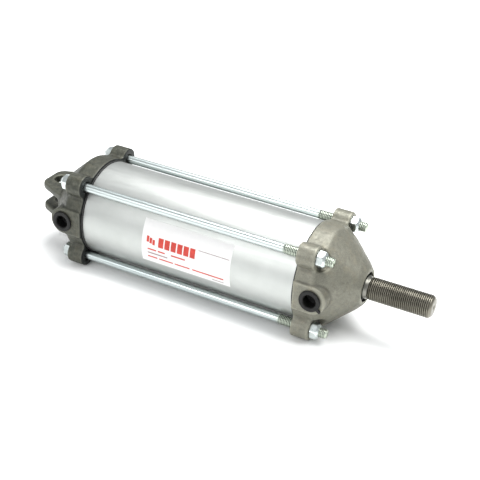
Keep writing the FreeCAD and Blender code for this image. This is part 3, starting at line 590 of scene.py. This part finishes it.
def make_label():
    """White foil with a printed mark, bars and thin lines, none of them lettering."""
    low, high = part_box("label")
    length = high.x - low.x
    corners = cad_points("label")
    angles = np.degrees(np.arctan2(corners[:, 2], corners[:, 1])) % 360
    top, span = angles.min(), angles.max() - angles.min()
    outer = np.hypot(corners[:, 1], corners[:, 2]).max()
    inner = TUBE_RADIUS + 0.01 * MM
    ink = 0.02 * MM
    parts = [curved_patch(low.x, high.x, top, top + span, inner, outer - inner, "foil", 48)]

    def mark(x0, x1, down0, down1, material):
        """Ink between shares of the label's length and of its height."""
        parts.append(curved_patch(low.x + x0 * length, low.x + x1 * length,
                                  top + down0 * span, top + down1 * span,
                                  outer, ink, material, 8))

    # A small mark of three stepped bars, and a heavy bar in blocks.
    for step in range(3):
        mark(0.055 + 0.034 * step, 0.083 + 0.034 * step, 0.36 + 0.03 * step,
             0.50 + 0.02 * step, "red_ink")
    for block in range(6):
        start = 0.19 + 0.072 * block
        mark(start, start + 0.058, 0.34, 0.56, "red_ink")
    mark(0.64, 0.98, 0.335, 0.35, "dark_ink")
    rows = (
        (0.64, "red_ink", ((0.07, 0.17), (0.19, 0.27), (0.34, 0.50))),
        (0.73, "dark_ink", ((0.07, 0.30),)),
        (0.83, "red_ink", ((0.07, 0.18), (0.20, 0.36), (0.38, 0.55), (0.58, 0.93))),
    )
    for height, material, runs in rows:
        for start, end in runs:
            mark(start, end, height, height + 0.035, material)
    mark(0.80, 0.93, 0.93, 0.95, "dark_ink")
    make_piece("label_foil_printed", parts, "barrel", ["label"])


# ---------------------------------------------------------------- tie rods and nuts
def make_tie_rods():
    crest = TIE_HIGH.z - (TIE_LOW.z + TIE_HIGH.z) / 2
    shank = 4.25 * MM
    chamfer = 0.9 * MM
    rear_thread, front_thread = 26 * MM, 49 * MM
    around = 28
    for corner in CORNERS:
        middle = centre("tie_rod_" + corner)
        axis = (middle.y, middle.z)
        pitch_radius = crest - THREAD_DEPTH * TIE_PITCH / 2
        rear_end, front_end = TIE_LOW.x + chamfer, TIE_HIGH.x - chamfer
        rear_stop = TIE_LOW.x + rear_thread
        front_start = TIE_HIGH.x - front_thread
        parts = [
            plain_part([(TIE_LOW.x, 0), (TIE_LOW.x, pitch_radius - chamfer),
                        (rear_end, pitch_radius)], around, axis, "tie_rod"),
            *thread_parts(rear_end, rear_stop, crest, TIE_PITCH, around, axis,
                          "tie_rod", "tie_root_painted_shade"),
            plain_part([(rear_stop, pitch_radius), (rear_stop + 0.5 * MM, shank),
                        (front_start - 0.5 * MM, shank), (front_start, pitch_radius)],
                       around, axis, "tie_rod"),
            *thread_parts(front_start, front_end, crest, TIE_PITCH, around, axis,
                          "tie_rod", "tie_root_painted_shade"),
            plain_part([(front_end, pitch_radius), (TIE_HIGH.x, pitch_radius - chamfer),
                        (TIE_HIGH.x, 0)], around, axis, "tie_rod"),
        ]
        make_piece(f"tie_rod_{corner}_threaded", parts, "barrel",
                   ["tie_rod_" + corner], sharp=60)


def hexagon_nut(node, flats_half, hole, turned_to, outward):
    """A nut along X with countersinks, eased corners and a taper on its outward end."""
    low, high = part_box(node)
    middle = centre(node)
    per_side = 12
    angle = circle_angles(6 * per_side)
    off_flat = (angle + math.radians(30)) % math.radians(60) - math.radians(30)
    corner = flats_half / math.cos(math.radians(30))
    side = np.minimum(flats_half / np.cos(off_flat), 0.985 * corner)
    seat_face, top_face = 0.95 * flats_half, 0.74 * flats_half
    seat_drop = (side - seat_face) * math.tan(math.radians(30))
    top_drop = (side - top_face) * math.tan(math.radians(42))
    low_face, high_face = (seat_face, top_face) if outward > 0 else (top_face, seat_face)
    low_drop, high_drop = (seat_drop, top_drop) if outward > 0 else (top_drop, seat_drop)
    sink = 0.7 * MM
    flat = np.zeros_like(angle)
    rings = [
        (np.full_like(angle, hole), low.x + sink + flat),
        (np.full_like(angle, hole + sink), low.x + flat),
        (np.full_like(angle, low_face), low.x + flat),
        (side, low.x + low_drop),
        (side, high.x - high_drop),
        (np.full_like(angle, high_face), high.x + flat),
        (np.full_like(angle, hole + sink), high.x + flat),
        (np.full_like(angle, hole), high.x - sink + flat),
    ]
    turned = angle + turned_to
    rows = [np.stack([x, middle.y + radius * np.cos(turned),
                      middle.z + radius * np.sin(turned)], axis=1) for radius, x in rings]
    return skin(rows, loop=True)


def flat_direction(node):
    """Angle of a flat's middle: half a side on from the node's furthest corner."""
    middle = centre(node)
    points = cad_points(node)
    across = points[:, 1:] - np.array((middle.y, middle.z))
    corner = across[np.hypot(*across.T).argmax()]
    return math.atan2(corner[1], corner[0]) + math.radians(30)


def make_nuts():
    for end, outward in (("rear", -1), ("front", 1)):
        for corner in CORNERS:
            node = f"{end}_nut_{corner}"
            points, faces = hexagon_nut(node, NUT_FLATS / 2, 4.6 * MM, flat_direction(node),
                                        outward)
            make_piece(node + "_zinc", [(points, faces, "zinc_nut")], "barrel",
                       [node], sharp=28)


# ------------------------------------------------------------------------ piston rod
def make_piston_rod():
    """Hidden stepped end, ground shank, thread relief, cut thread, centre-drilled end."""
    around = 72
    chamfer = 2.4 * MM
    pitch_radius = ROD_RADIUS - THREAD_DEPTH * ROD_PITCH / 2
    thread_start = ROD_HIGH.x - 60.8 * MM
    relief_start = thread_start - 1.5 * MM
    shank_end = thread_start - 2.2 * MM
    crest_start = thread_start + 0.4 * MM
    centre_drill, centre_depth = 2.2 * MM, 1.6 * MM
    thread_end = ROD_HIGH.x - chamfer * 0.8
    step = 15.875 / 2 * MM
    step_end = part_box("piston")[1].x
    neck = 19.9 / 2 * MM
    shank = [(ROD_LOW.x, 0), (ROD_LOW.x, step - 0.8 * MM), (ROD_LOW.x + 0.8 * MM, step),
             (step_end, step), (step_end, ROD_RADIUS),
             (shank_end, ROD_RADIUS), (relief_start, neck)]
    relief = [(relief_start, neck), (thread_start, neck), (crest_start, pitch_radius)]
    end_face = [(thread_end, pitch_radius), (ROD_HIGH.x, pitch_radius - chamfer * 0.8),
                (ROD_HIGH.x, centre_drill), (ROD_HIGH.x - centre_depth, 0)]
    parts = [
        plain_part(shank, around, (0, 0), "rod_shank"),
        plain_part(relief, around, (0, 0), "rod_shank"),
        *thread_parts(crest_start, thread_end, ROD_RADIUS, ROD_PITCH, around,
                      (0, 0), "rod_thread", "rod_root_painted_shade"),
        plain_part(end_face, around, (0, 0), "rod_thread"),
    ]
    make_piece("piston_rod_threaded", parts, "piston_and_rod",
               ["piston_rod"], sharp=60)


# ------------------------------------------------------------------- plugs and wiper
def make_plug(node, body, has_tab):
    """A hollow moulded plug: beaded rim, tapered core and, on one of them, a pull tab."""
    low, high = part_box(node)
    port = Vector(mount(node.replace("_plug", ""))["pos_m"])
    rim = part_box("rear_port_plug")[1].z
    length = high.y - low.y
    thickness = 1.9 * MM
    core, wall = 6.2 * MM, 8.2 * MM
    outline = [
        (0, core + 0.9 * MM), (0, rim - 0.5 * MM), (-0.4 * MM, rim), (-thickness, rim),
        (-thickness, wall), (-length, wall - 0.5 * MM), (-length, 0),
        (1.2 * MM - length, 0), (1.2 * MM - length, core - 0.5 * MM),
        (-1.0 * MM, core),
    ]
    points, faces = lathe(round_corners(outline, 0.45 * MM), 72)
    # The lathe turns about X: its +X end is set to face out of the port, along -Y.
    to_port = Matrix.Translation((port.x, low.y, port.z)) @ Matrix.Rotation(
        -math.pi / 2, 4, "Z")
    parts = [(transformed(points, to_port), faces, "plug")]
    if has_tab:
        parts.append(pull_tab(port, low.y, rim, thickness))
    make_piece(node + "_moulded", parts, body, [node])


def transformed(points, matrix):
    return [tuple(matrix @ Vector(point)) for point in points]


def pull_tab(port, face_y, rim, thickness):
    """A small rounded tongue that leaves the rim down and forward."""
    lean = math.radians(38)
    half = 1.5 * MM
    reach = 14.4 * MM - half
    start = rim - 2 * MM
    outline = [(start, -half), (start, half)]
    for step in range(9):
        turn = math.pi / 2 - math.pi * step / 8
        outline.append((reach + half * math.cos(turn), half * math.sin(turn)))
    rows = []
    for depth, shrink in ((0.0, 0.85), (0.25, 1.0), (0.75, 1.0), (1.0, 0.85)):
        row = []
        for along, across in outline:
            wide = across * shrink
            row.append((port.x + along * math.cos(lean) - wide * math.sin(lean),
                        face_y + 0.15 * MM + depth * (thickness - 0.2 * MM),
                        port.z - along * math.sin(lean) - wide * math.cos(lean)))
        rows.append(row)
    points, faces = skin(rows, loop=False)
    count = len(outline)
    last = len(points) - count
    caps = [tuple(range(count)), tuple(range(last, last + count))]
    return points, faces + caps, "plug"


def make_wiper():
    """The rod wiper: a ring with a lip that leans out along the rod."""
    low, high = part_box("rod_wiper")
    inner = np.hypot(*cad_points("rod_wiper")[:, 1:].T).min()
    body_end = high.x - 2.0 * MM
    # The lip reaches almost to the nose's end, a little past where the CAD ends it, so its dark
    # rubber fills the gap round the rod: partly the real lip, partly painted shade in that
    # recess.
    lip_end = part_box("front_head")[1].x - 0.3 * MM
    outline = [(low.x, inner), (low.x, high.z), (body_end, high.z),
               (body_end, inner + 0.50 * MM), (lip_end, inner + 0.45 * MM), (lip_end, inner)]
    points, faces = lathe(round_corners(outline, 0.1 * MM), 96)
    make_piece("rod_wiper_moulded", [(points, faces, "wiper")], "barrel",
               ["rod_wiper"])


# --------------------------------------------------- materials of the carried-over nodes
def dress_cad_nodes():
    looks = {
        "rod_bushing": "bronze", "rod_cup_seal": "rubber", "seal_washer": "plain_steel",
        "retaining_ring": "black_steel", "piston": "piston", "rear_piston_cup": "rubber",
        "front_piston_cup": "rubber", "piston_wear_ring": "wear",
        "piston_washer": "plain_steel", "piston_nut": "plain_steel", "rod_o_ring": "rubber",
    }
    for node, look in looks.items():
        NODES[node].data.materials.clear()
        NODES[node].data.materials.append(LOOKS[look])


# ------------------------------------------------------------------- floor and lights
def make_floor():
    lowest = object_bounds()[0].z
    mesh = bpy.data.meshes.new("studio_floor")
    work = bmesh.new()
    bmesh.ops.create_grid(work, x_segments=8, y_segments=8, size=6)
    work.to_mesh(mesh)
    work.free()
    look = Shader("floor_paper")
    colour = look.ramp(look.noise(3, 3), [(0.3, (0.93, 0.94, 0.935)), (0.7, (0.95, 0.955, 0.95))])
    mesh.materials.append(look.finish(colour, look.spread(look.noise(40), 0.3, 0.7, 0.8, 0.9)))
    floor = bpy.data.objects.new("studio_floor", mesh)
    floor.location.z = lowest - 0.2 * MM
    bpy.context.scene.collection.objects.link(floor)


def add_softbox(name, direction, distance, width, height, power):
    target = (cad_low + cad_high) / 2
    data = bpy.data.lights.new(name, "AREA")
    data.shape = "RECTANGLE"
    data.size, data.size_y = width, height
    data.energy = power
    light = bpy.data.objects.new(name, data)
    away = Vector(direction).normalized()
    light.location = target + away * distance
    light.rotation_mode = "QUATERNION"
    light.rotation_quaternion = away.to_track_quat("Z", "Y")
    bpy.context.scene.collection.objects.link(light)


def light_scene():
    world = bpy.data.worlds.new("studio")
    world.use_nodes = True
    background = world.node_tree.nodes["Background"]
    background.inputs["Color"].default_value = (0.96, 0.98, 1.0, 1)
    background.inputs["Strength"].default_value = 0.54
    bpy.context.scene.world = world
    add_softbox("key_softbox", (-0.20, -0.80, 0.50), 1.5, 0.9, 0.7, 10)
    add_softbox("top_softbox", (-0.02, 0.25, 1.0), 1.4, 1.1, 0.8, 29)
    add_softbox("rod_end_softbox", (0.75, 0.05, 1.0), 1.3, 0.5, 0.5, 8)
    bpy.context.scene.view_settings.view_transform = "Standard"


def make_camera():
    """Long lens, half above the cylinder and round towards its rod end."""
    azimuth, elevation, roll = 0.4640, 0.5210, 0.055
    data = bpy.data.cameras.new("camera")
    data.sensor_width = 36
    data.lens = 84.31
    half_pixel = 0.5 / 480
    data.shift_x, data.shift_y = -half_pixel, half_pixel
    camera = bpy.data.objects.new("camera", data)
    back = Vector((math.sin(azimuth) * math.cos(elevation),
                   -math.cos(azimuth) * math.cos(elevation), math.sin(elevation)))
    right = Vector((math.cos(azimuth), math.sin(azimuth), 0))
    up = back.cross(right)
    rolled_right = math.cos(roll) * right + math.sin(roll) * up
    rolled_up = math.cos(roll) * up - math.sin(roll) * right
    target = Vector((0.209, 0, 0.00768))
    matrix = Matrix((rolled_right, rolled_up, back)).transposed().to_4x4()
    matrix.translation = target + back * 1.0819
    camera.matrix_world = matrix
    bpy.context.scene.collection.objects.link(camera)
    bpy.context.scene.camera = camera


make_camera()
make_heads()
make_tube()
make_gaskets()
make_label()
make_tie_rods()
make_nuts()
make_piston_rod()
make_plug("rear_port_plug", "rear_plug", False)
make_plug("front_port_plug", "front_plug", True)
make_wiper()
dress_cad_nodes()
make_floor()
light_scene()
